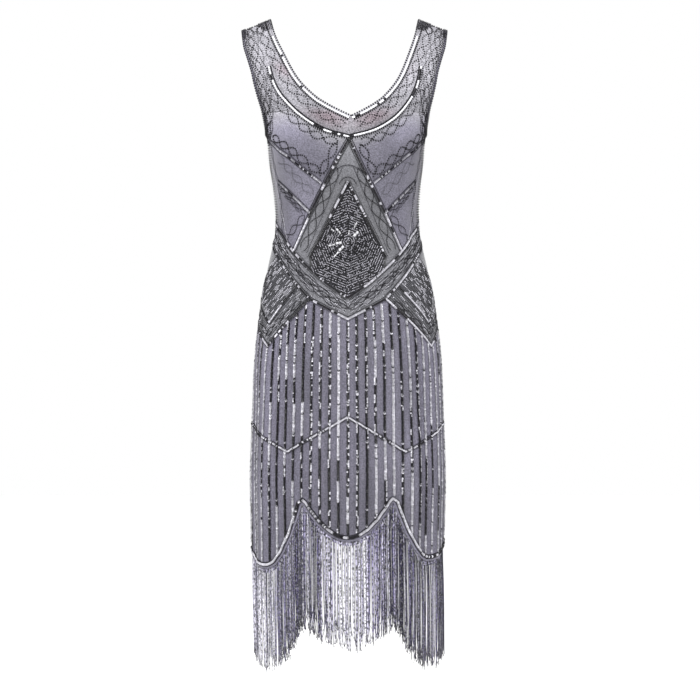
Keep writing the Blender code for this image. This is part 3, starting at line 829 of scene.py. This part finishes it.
# ---- front bodice; each plan is for the right side, then the left
V_PLANS = (
    ((0.10, 1), (0.26, 2), (0.40, 1), (0.46, 2), (0.72, 1), (1, 0)),
    ((0.06, 1), (0.30, 3), (0.42, 2), (0.60, 3), (0.66, 1), (0.78, 0), (0.84, 1), (1, 0)),
)
SIDE_UP_PLANS = (((0.44, 0), (0.5, 1), (0.58, 0), (0.9, 2), (1, 0)), ((0.2, 2), (0.4, 4), (0.9, 2), (1, 0)))
SIDE_LOW_PLANS = (((0.38, 0), (0.54, 1), (1, 0)), ((0.3, 2), (0.6, 4), (1, 2)))
for side in (-1, 1):
    for bulge in (-5.5, 5.5):
        branch = curve_x(((132, -90), (132 + bulge, -122), (131, -166)), side, smooth=True)
        seeds("front", branch, BLACK, 1.6, 2.3)
    seeds("front", curve_x(((132, -92), (132, -128)), side), SILVER, 2.0, 2.6, dark=False)
    v, upper, lower = (curve_x(line, side) for line in (BIG_V, SIDE_UP, SIDE_LOW))
    outward = (side, 0, 0.4)
    v_plan, upper_plan, lower_plan = (plans[side > 0] for plans in (V_PLANS, SIDE_UP_PLANS, SIDE_LOW_PLANS))
    lined("front", v, 4.4, v_plan, ((BLACK, 1.9, 2.3, 4.0), (BLACK, 1.9, 2.3, -3.8)), outward)
    lined("front", upper, 4.0, upper_plan, ((BLACK, 1.8, 3.0, 3.7), (DUSK, 1.6, 2.4, -3.5)))
    cable("front", upper, 27, 6.8, offset=13.0, ends=(10, 4))
    cable("front", v, 30, 6.4, offset=14.0, toward=outward, ends=(16, 150))
    lined("front", lower, 4.4, lower_plan, ((BLACK, 1.8, 2.6, 3.8), (DUSK, 1.6, 2.6, -3.6)))
    inner, outer = curve_x(((16, -262), (78, -404)), side), curve_x(((72, -346), (106, -386)), side)
    cable("front", inner, 33, 7.0, BLACK, 2.0, 2.5, shear=0.15, ends=(4, 0))
    seeds("front", curve_x(((8, -262), (70, -409)), side), DUSK, 1.7, 3.0)
    cable("front", outer, 24, 6.0, BLACK, 2.0, 2.8, 2, outward)
    side_rows = ((0.985, BLACK, 2.8, 4.4), (0.95, DUSK, 2.4, 4.6), (0.90, DUSK * 1.3, 2.0, 4.6))
    for w, tone, size, pitch in side_rows:
        z = np.linspace(-204, -372, 60)
        wavy = phi_of(side * (w - 0.008 + 0.008 * np.sin(z / 6 + 9 * w)))
        seeds("front", (wavy, z), tone, size, pitch, lift=0.9)
    edge, light, across = (
        curve_x(line, side, smooth=True)
        for line in (
            ((132, -206), (126, -250), (118, -290), (114, -330), (113, -372)),
            ((120, -284), (117, -312), (111, -350), (103, -390)),
            ((56, -312), (84, -284), (116, -246)),
        )
    )
    cable("front", edge, 21, 4.2, DUSK, 2.0, 3.6)
    seeds("front", light, SILVER * 1.1, 2.0, 2.7, dark=False)
    cable("front", lower, 15, 3.2, BLACK, 1.9, 2.8, -8.0, ends=(12, 8))
    cable("front", lower, 11, 2.0, DUSK, 1.7, 2.8, -14.0, ends=(26, 16))
    cable("front", across, 26, 7.5, GREY * 0.3, 1.6, 2.9, shear=0.5, ends=(4, 0))

# ---- medallion: outline, field of rings of beads with eight straight sides, starburst, arcs over the top
CENTRE_Z = -391.0  # height of the star's middle, mm
MEDALLION_PLANS = (
    ((0.16, 0), (0.22, 1), (0.36, 0), (0.42, 1), (0.50, 2), (1, 1)),
    ((0.06, 1), (0.48, 2), (0.84, 1), (0.92, 2), (1, 1)),
)
for side in (-1, 1):
    rows = ((BLACK, 2.3, 2.1, -3.7), (BLACK, 1.6, 2.6, 3.6))
    lined("front", curve_x(MEDALLION[:2], side), 3.8, MEDALLION_PLANS[side > 0], rows, (side, 0, 0.2))
for k, r in enumerate(np.arange(3, 104, 1.95)):
    for sector in range(8):
        middle = (sector + 0.5) * math.pi / 4
        half = r * math.tan(math.pi / 8)
        across = np.arange(-half + rng.uniform(0, 2), half, 2.7)
        x = r * math.cos(middle) - across * math.sin(middle)
        z = CENTRE_Z + r * math.sin(middle) + across * math.cos(middle)
        inside = in_medallion(np.abs(x) + 4.0, z) & (z < -294) & (z > -484)
        x, z = x[inside], z[inside]
        ahead = np.tile((-math.sin(middle), 0, math.cos(middle)), (len(x), 1))
        kind = rng.choice(3, len(x), p=(0.76, 0.16, 0.08) if k % 2 else (0.06, 0.16, 0.78))
        for flag, tone in ((kind == 0, BLACK), (kind == 1, DUSK), (kind == 2, GREY * 1.3)):
            phi, tone = phi_of_x(x[flag], z[flag]), jitter(tone, flag.sum(), 0.35)
            put("dark_beads_front", "dot", phi, z[flag], ahead[flag], (2.9, 2.0, 1.6), tone, 0.9)
# petals of the starburst: direction in degrees, distances of the ends, width, silver
PETALS = (
    (45, 13, 25, 4.6, 1), (66, 25, 37, 2.6, 1), (84, 12, 20, 2.4, 1), (131, 18, 30, 3.4, 1),
    (142, 29, 36, 2.4, 1), (188, 10, 21, 4.6, 1), (192, 22, 34, 3.2, 1), (226, 10, 22, 4.6, 1),
    (228, 23, 36, 2.8, 1), (316, 12, 24, 2.6, 0), (322, 25, 40, 2.2, 0), (350, 12, 27, 3.0, 0),
    (90, 21, 40, 3.2, 0), (135, 32, 46, 2.6, 0), (124, 15, 34, 2.4, 0), (180, 36, 46, 2.0, 0),
    (212, 24, 38, 2.2, 0), (270, 10, 24, 3.4, 0), (276, 27, 38, 2.6, 0), (304, 14, 38, 2.6, 0),
    (2, 24, 38, 2.2, 0), (22, 22, 40, 2.2, 0), (56, 28, 42, 2.4, 0), (244, 24, 34, 2.0, 0),
)
for angle, r0, r1, width, bright in PETALS:
    a = math.radians(angle)
    r = np.array([(3 * r0 + r1) / 4, (r0 + 3 * r1) / 4])
    x, z = r * math.cos(a), CENTRE_Z + r * math.sin(a)
    direction = np.tile((math.cos(a), 0, math.sin(a)), (2, 1))
    name, tone = ("silver_beads_front", WHITE * 0.55) if bright else ("dark_beads_front", BLACK)
    size = ((r1 - r0) / 2 * 0.92, width, 2.4)
    put(name, "bugle", phi_of_x(x, z), z, direction, size, jitter(tone, 2, 0.2), 1.9)
for r, tone in ((18, BLACK), (38, DUSK)):
    a = np.radians(np.arange(22, 159, 2.6 / r * 57.3))
    x, z = r * np.cos(a) * 0.86, -300 + r * np.sin(a)
    inside = np.abs(x) < big_v(z) - 4
    a, x, z = a[inside], x[inside], z[inside]
    direction = np.stack([-np.sin(a), 0 * a, np.cos(a)], -1)
    put("dark_beads_front", "seed", phi_of_x(x, z), z, direction, 2.0, jitter(tone, len(a), 0.3), 0.8)


def hatch(panel, side, back, lean, first, last, step, inside, weights, size):
    """Slanting rows of short dark and silver beads over the part of the quarter that inside() keeps."""
    q = np.linspace(0.02, 0.995, 240)
    tones = (("dark_beads_", BLACK), ("dark_beads_", DUSK), ("silver_beads_", SILVER * 1.3))
    for start in np.arange(first, last, -step):
        z = start + lean * q
        ok = inside(2 * back + side * q, z)
        for run in np.split(np.arange(len(q)), np.nonzero(np.diff(ok.astype(int)))[0] + 1):
            if len(run) < 6 or not ok[run[0]]:
                continue
            row = np.stack([q[run], z[run]], 1)[::5]
            p, h, ahead = spaced(curve_w(row, side, back, 4), 3.2)
            kind = segments(len(p), (1, 5), weights)
            for k, (name, tone) in enumerate(tones):
                m = kind == k
                put(name + panel, "dot", p[m], h[m], ahead[m], size, jitter(tone, m.sum(), 0.4), 0.7)


# Lines round the hips: table, width of the sequins, rows of small beads beside them, and plans of the
# sequins from the middle outwards on the right side and on the left
HIP_LINES = (
    (BAND_UP, 3.8, ((BLACK, 1.8, 2.3, 3.6), (DUSK, 1.5, 2.6, -3.4)), (
        ((0.48, 3), (0.53, 0), (0.555, 1), (0.60, 0), (0.62, 1), (0.66, 0), (0.85, 1), (1, 2)),
        ((0.14, 1), (0.25, 0), (0.29, 2), (0.46, 0), (0.52, 1), (0.85, 0), (1, 2)),
    )),
    (BAND_LOW[1:], 3.8, ((BLACK, 1.8, 2.3, -3.5), (DUSK, 1.5, 2.6, 3.4)), (
        ((0.22, 3), (0.5, 2), (0.8, 3), (1, 2)), ((0.15, 4), (0.5, 0), (0.7, 2), (1, 1)),
    )),
    (BORDER, 4.0, ((BLACK, 1.8, 2.3, -3.6), (DUSK, 1.5, 2.6, 3.4)), (
        ((0.07, 0), (0.29, 4), (0.44, 1), (0.72, 4), (0.80, 0), (1, 3)),
        ((0.12, 0), (0.22, 3), (0.29, 4), (0.36, 0), (0.48, 4), (0.78, 0), (1, 2)),
    )),
    (HIP_UP, 3.6, ((BLACK, 1.8, 2.3, 3.4),), (
        ((0.28, 1), (0.56, 0), (1, 3)), ((0.1, 1), (0.56, 0), (1, 2)),
    )),
)
ZIG_PLANS = (
    ((0.12, 0), (0.42, 2), (0.50, 0), (0.70, 2), (0.85, 4), (1, 3)),
    ((0.24, 0), (0.36, 2), (0.49, 0), (0.72, 4), (1, 0)),
)
HEM_PLANS = (
    ((0.12, 4), (0.29, 2), (0.37, 4), (0.43, 3), (0.97, 0), (1, 2)),
    ((0.07, 4), (0.68, 0), (0.80, 2), (1, 3)),
)
# Stripes: shares of silver, dark and mixed stretches; kinds of the front's middle ones from left to right
STRIPE_KINDS = ((0.60, 0.12, 0.28), (0.12, 0.40, 0.48), (0.16, 0.20, 0.64))
FRONT_STRIPES = (1, 1, 1, 2, 1, 1, 1, 2, 0, 2, 2, 1, 2, 0, 0, 1, 0, 2, 0)
SIDE_PART, SIDE_KINDS = 0.66, (0.84, 0.10, 0.06)  # share of the quarter where the narrow side stripes start


# Fields of the hips and the waist band, for hatch()
def in_wing(w, z):
    return (z < along(BAND_LOW, w) - 5) & (z > along(HIP_UP, w) + 4) & (quarter(w) > 0.42)


def in_strip(w, z):
    ceiling = np.where(quarter(w) > 0.45, along(HIP_UP, w), along(BAND_LOW, w))
    return (z < ceiling - 4) & (z > along(BORDER, w) + 5) & (quarter(w) > 0.36)


def in_band(w, z):
    return (z < along(BAND_UP, w) - 5) & (z > along(BAND_LOW, w) + 5)


# ---- waist band, hip fields, stripes, zigzag and hem, all round
for back, panel in ((False, "front"), (True, "back")):
    for side in (-1, 1):
        for table, width, rows, plans in HIP_LINES:
            lined(panel, curve_w(of_side(table, side), side, back), width, plans[side > 0], rows, DOWN)
        middle = [(w, (along(BAND_UP, w) + along(BAND_LOW, w)) / 2) for w in (0.0, 0.2, 0.4, 0.6, 0.8, 1.0)]
        middle = curve_w(middle, side, back)
        cable(panel, middle, 36, 8.0, BLACK, 1.9, 2.3, shear=0.5)
        cable(panel, middle, 19, 3.2, BLACK, 1.8, 2.4)
        cable(panel, middle, 44, 10.5, DUSK, 1.8, 2.3, shear=-0.4, ends=(12, 0))
        for offset in (-8.5, -4.5, 4.5, 8.5):
            seeds(panel, middle, SILVER * 1.2, 1.6, 2.6, offset, DOWN, 0.6, False)
        between = [(0.40, -492), (0.74, -549), (0.99, -506)]
        cable(panel, curve_w(between, side, back), 24, 5.0, BLACK, 1.9, 2.3, shear=0.4)
        hatch(panel, side, back, -200, -260, -560, 4.4, in_wing, (0.42, 0.22, 0.36), (3.4, 2.1, 1.7))
        hatch(panel, side, back, -200, -300, -620, 5.6, in_strip, (0.45, 0.25, 0.30), (3.2, 1.8, 1.3))
        hatch(panel, side, back, 150, -440, -590, 9.0, in_band, (0.3, 0.45, 0.25), (3.0, 1.5, 1.1))
        zig = curve_w(of_side(ZIGZAG, side), side, back)
        rows = ((BLACK, 1.9, 2.8, 2.9), (BLACK, 1.9, 2.8, -2.8))
        lined(panel, zig, 3.3, ZIG_PLANS[side > 0], rows, lift=1.9, row_lift=1.3)
        w = 2 * back + side * np.linspace(0, 1, 140)
        rows = ((BLACK, 1.9, 2.2, 4.1), (BLACK, 2.2, 2.2, 10.4))
        hem = phi_of(w), hem_at(w)[0]
        lined(panel, hem, 4.8, HEM_PLANS[side > 0], rows, offset=7.2, lift=1.7, row_lift=1.1)
    for k in range(1 - STRIPES, STRIPES) if back else range(-STRIPES, STRIPES + 1):
        w = k / STRIPES + 2 * back
        q = quarter(w)
        z = np.linspace(float(along(BORDER, w)) - 5, float(hem_at(w)[0]) + 13, 60)
        wob = w + 0.0012 * np.sin(z / 40 + k)
        listed = abs(k) <= len(FRONT_STRIPES) // 2 and not back
        kind = FRONT_STRIPES[k + len(FRONT_STRIPES) // 2] if listed else rng.choice(3, p=(0.3, 0.3, 0.4))
        weights = STRIPE_KINDS[kind] if q <= SIDE_PART else SIDE_KINDS
        stripe(panel, (phi_of(wob), z), 5.2 if q < SIDE_PART else 4.0, weights, 1.3 if q < 0.8 else 0.8)

make_pieces()


# ---------------------------------------------------------------- bindings
# mm: sideways into the opening, and out from the cloth
BINDING_PROFILE = ((-0.6, -0.4), (-0.9, 0.6), (0.0, 1.5), (2.0, 1.75), (3.7, 1.2), (3.9, 0.5), (1.5, 0.3))


def band(name, runs, into, node, shade):
    """Narrow folded binding round an opening, with a rounded face."""
    phi = np.concatenate([p for p, _ in runs])
    z = np.concatenate([h for _, h in runs])
    points = place(phi, z)
    keep = np.concatenate([[True], np.linalg.norm(np.diff(points, axis=0), axis=1) > 1e-4])
    phi, z, points = phi[keep], z[keep], points[keep]
    if np.linalg.norm(points[0] - points[-1]) < 1e-4:
        phi, z, points = phi[:-1], z[:-1], points[:-1]
    normal = slopes(phi, z)[2]
    ahead = unit(np.roll(points, -1, axis=0) - np.roll(points, 1, axis=0))
    side = unit(np.cross(normal, ahead))
    if (side * into(points)).sum() < 0:
        side = -side
    verts = np.stack([points + side * a * MM + normal * b * MM for a, b in BINDING_PROFILE], 1)
    n, m = verts.shape[:2]
    tone = np.broadcast_to(shade, (n * m, 3))
    piece = new_piece(name, verts, tube_faces(n, m, closed=True), tone, EDGING)
    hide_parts(node)
    return piece


def flipped(path):
    return path[0][::-1], path[1][::-1]


neck_runs = []
for facing, side, down in ((-1, 1, True), (-1, -1, False), (1, -1, True), (1, 1, False)):
    run = curve_x(neck_path, side, facing, True, 10)
    neck_runs.append(run if down else flipped(run))
neck_edge = band("neck_edging", neck_runs, lambda p: p * (1, 0, 0) + (0, 0, -0.06), "neck_binding", NET)
for side, word in ((1, "left"), (-1, "right")):
    runs = [curve_x(arm_path, side, -1, True, 10), flipped(curve_x(arm_path, side, 1, True, 10))]
    name, node = "armhole_edging_" + word, "armhole_binding_" + word
    band(name, runs, lambda p, s=side: 0 * p + (-s, 0, -0.5), node, SKIRT)


# ---------------------------------------------------------------- fringe
THREADS, STRAND_PITCH = 4, 5.6
# places down a thread, its thickness and tone there, and where its curled end turns and by how much
LEVELS = (0, 0.1, 0.3, 0.5, 0.7, 0.86, 0.93, 0.97, 1.0)
THICKNESS = ((0, 0.8, 0.93, 1), (1, 0.88, 1.2, 1.1))
THREAD_TONE = ((0, 0.1, 0.3, 0.84, 0.95, 1), (0.6, 0.72, 1, 0.9, 0.5, 0.35))
CURL_AT, CURL = (0.86, 0.93, 0.97), (0.012, 0.013, 0.014)
# how much painted shade darkens the threads by their share of the quarter, and their colours from dark to
# light
PAINTED_FRINGE_SHADE = ((0, 0.16, 0.26, 0.36, 0.48, 0.60, 0.8, 1), (-0.1, 0.02, 0.6, 1.1, 1.0, 0.3, 0.0, 0.2))
THREAD_COLOURS = ((18, 14, 38), (46, 41, 74), (86, 80, 114), (150, 147, 164), (198, 197, 205))
TAPE = ((-4, -1.7), (3, -1.7), (7, -2.0), (7, -2.6), (3, -2.6), (-4, -2.6))  # drop and stand-off, mm


def strands(w0, w1):
    """Strands along an edge: place w, sideways drift, end, shade and how far the end stands in or out."""
    w = np.linspace(w0, w1, 1600)
    run = length_along(place(phi_of(w), hem_at(w)[0]))
    roots = np.interp(np.arange(STRAND_PITCH / 2, run[-1], STRAND_PITCH), run, w)
    n = len(roots)
    return np.stack(
        [roots, rng.normal(0, 0.004, n), rng.normal(0, 3.0, n), rng.random(n), rng.uniform(-4, 1.5, n)], 1
    )


def fringe(name, table, w0, w1, node):
    """Thread fringe sewn behind the scalloped edge, with its heading tape."""
    root, drift, strand_end, shade, spread = np.repeat(table, THREADS, 0).T
    n = len(root)
    place_in = np.tile(np.linspace(-1.5, 1.5, THREADS), len(table))
    low, high = w0 + 0.002, w1 - 0.002
    wr = np.clip(root + place_in * 0.92 / QUARTER_RUN + rng.normal(0, 0.0004, n), low, high)
    top, end = hem_at(wr)
    end = end + strand_end + rng.normal(0, 2.8, n)
    drift = drift + rng.normal(0, 0.0009, n)
    bow = rng.normal(0, 0.0012, n)
    kink = rng.normal(0, CURL, (n, 3))
    depth0 = -1.2 - rng.uniform(0, 1.2, n)
    radius = rng.uniform(0.46, 0.62, n)
    # painted shade: dark where the scallops meet and at the dress's left side; painted light: pale below the
    # middles and at its right
    painted_shade = np.interp(quarter(wr), *PAINTED_FRINGE_SHADE)
    painted_shade += np.where((wr > 0.50) & (wr < 1.5), 0.44, 0) - np.where((wr < -0.62) | (wr > 2.62), 0.3, 0)
    edge_thread = (place_in < -1) & (shade < 0.75) | (place_in > 1) & (shade > 0.55)
    deep = painted_shade * (0.22 + 0.92 * (rng.random(n) < 0.58))
    shade = shade * 0.40 + rng.random(n) * 0.35 + 0.41 - deep - 0.75 * edge_thread
    colours = np.array([srgb(*c) for c in THREAD_COLOURS])
    steps = np.linspace(0, 1, len(colours))
    tone = np.stack([np.interp(np.clip(shade, 0, 1), steps, colours[:, c]) for c in range(3)], -1)
    verts, tones = [], []
    for t in LEVELS:
        z = (top + 3) * (1 - t) + end * t
        turn = sum(kink[:, i] * max(0, t - at) / (1 - at) for i, at in enumerate(CURL_AT))
        phi = phi_of(wr + drift * t**1.5 + bow * math.sin(math.pi * t) + turn * 0.5)
        normal = slopes(phi, z)[2]
        centre = place(phi, z) + normal * ((depth0 + spread * t) * MM)[:, None]
        tangent = np.stack([np.cos(phi), np.sin(phi), 0 * phi], -1)
        r = (radius * np.interp(t, *THICKNESS) * MM)[:, None]
        for a in (0.5 + k * 2 * math.pi / 3 for k in range(3)):
            verts.append(centre + (tangent * math.cos(a) + normal * math.sin(a)) * r)
            tones.append(tone * np.interp(t, *THREAD_TONE))
    verts, tones = np.stack(verts, 1), np.stack(tones, 1).reshape(-1, 3)
    m = len(LEVELS) * 3
    base = (np.arange(n) * m)[:, None]
    faces = []
    for face in tube_faces(len(LEVELS), 3) + [(m - 3, m - 2, m - 1), (2, 1, 0)]:
        faces += (base + np.array(face)[None]).tolist()
    # heading tape behind the edge
    wt = np.linspace(low, high, 260)
    phi, ht = phi_of(wt), hem_at(wt)[0]
    strip = [place(phi, ht - drop) + slopes(phi, ht - drop)[2] * out * MM for drop, out in TAPE]
    strip = np.stack(strip, 1)
    sides, start = len(TAPE), n * m
    faces += tube_faces(len(wt), sides, start)
    faces.append([start + k for k in range(sides)])
    faces.append([start + len(wt) * sides - 1 - k for k in range(sides)])
    all_verts = np.concatenate([verts.reshape(-1, 3), strip.reshape(-1, 3)])
    tape = np.broadcast_to(srgb(100, 97, 114), (len(wt) * sides, 3))
    piece = new_piece(name, all_verts, faces, np.concatenate([tones, tape]), THREAD)
    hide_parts(node)
    return piece


front_strands, back_strands = strands(-1.0, 1.0), strands(1.0, 3.0)
# most strands of the back hang right behind those of the front, so light shows between them
paired = front_strands[(front_strands[:, 0] > -0.74) & (front_strands[:, 0] < 0.46)].copy()
wide = np.sin(phi_of(paired[:, 0])) * 1.05
paired[:, 0] = 2 - w_of(np.arcsin(wide))
paired[:, 1] *= -1
loose = (back_strands[:, 0] < paired[:, 0].min() - 0.02) | (back_strands[:, 0] > paired[:, 0].max() + 0.02)
back_strands = np.concatenate([back_strands[loose], paired])
fringe_a = fringe("fringe_threads_front", front_strands, -1.0, 1.0, "fringe_front")
fringe_b = fringe("fringe_threads_back", back_strands, 1.0, 3.0, "fringe_back")


# ---------------------------------------------------------------- floor, light and camera
def floor():
    """Wide pale floor, 1.5 m below the shoulders' crest."""
    mesh = bpy.data.meshes.new("floor")
    mesh.from_pydata([(-9, -9, -1.5), (9, -9, -1.5), (9, 12, -1.5), (-9, 12, -1.5)], [], [(0, 1, 2, 3)])
    looks = {"Base Color": (0.97, 0.97, 0.97, 1), "Roughness": 0.9}
    mesh.materials.append(surface(new_material("pale_floor"), looks))
    piece = bpy.data.objects.new("floor", mesh)
    bpy.context.scene.collection.objects.link(piece)


def area_light(name, place_at, target, size, power):
    """Round soft light that faces a point."""
    data = bpy.data.lights.new(name, "AREA")
    data.shape = "DISK"
    data.size = size
    data.energy = power
    lamp = bpy.data.objects.new(name, data)
    lamp.location = place_at
    aim = Vector(target) - Vector(place_at)
    lamp.rotation_euler = aim.to_track_quat("-Z", "Y").to_euler()
    bpy.context.scene.collection.objects.link(lamp)


floor()
area_light("key", (-0.8, -2.4, 2.4), (0, 0, -0.5), 1.4, 320)
area_light("fill", (2.2, -2.8, 0.4), (0, 0, -0.6), 2.0, 55)
area_light("top", (0.3, 0.6, 2.2), (0, 0, -0.5), 1.6, 40)

world = bpy.data.worlds.new("studio")
world.use_nodes = True
background = world.node_tree.nodes["Background"].inputs
background["Color"].default_value = (1, 1, 1, 1)
background["Strength"].default_value = 1.0
bpy.context.scene.world = world
bpy.context.scene.view_settings.view_transform = "Standard"

DISTANCE, VIEW_WIDTH, SENSOR = 4.5, 1.225, 36.0  # camera to dress and width seen there, m; sensor, mm
cam_data = bpy.data.cameras.new("camera")
cam_data.sensor_width = SENSOR
cam_data.lens = SENSOR * DISTANCE / VIEW_WIDTH
camera = bpy.data.objects.new("camera", cam_data)
camera.location = (0.0096, -DISTANCE, -0.57575)
camera.rotation_euler = (math.pi / 2, 0, 0)
bpy.context.scene.collection.objects.link(camera)
bpy.context.scene.camera = camera
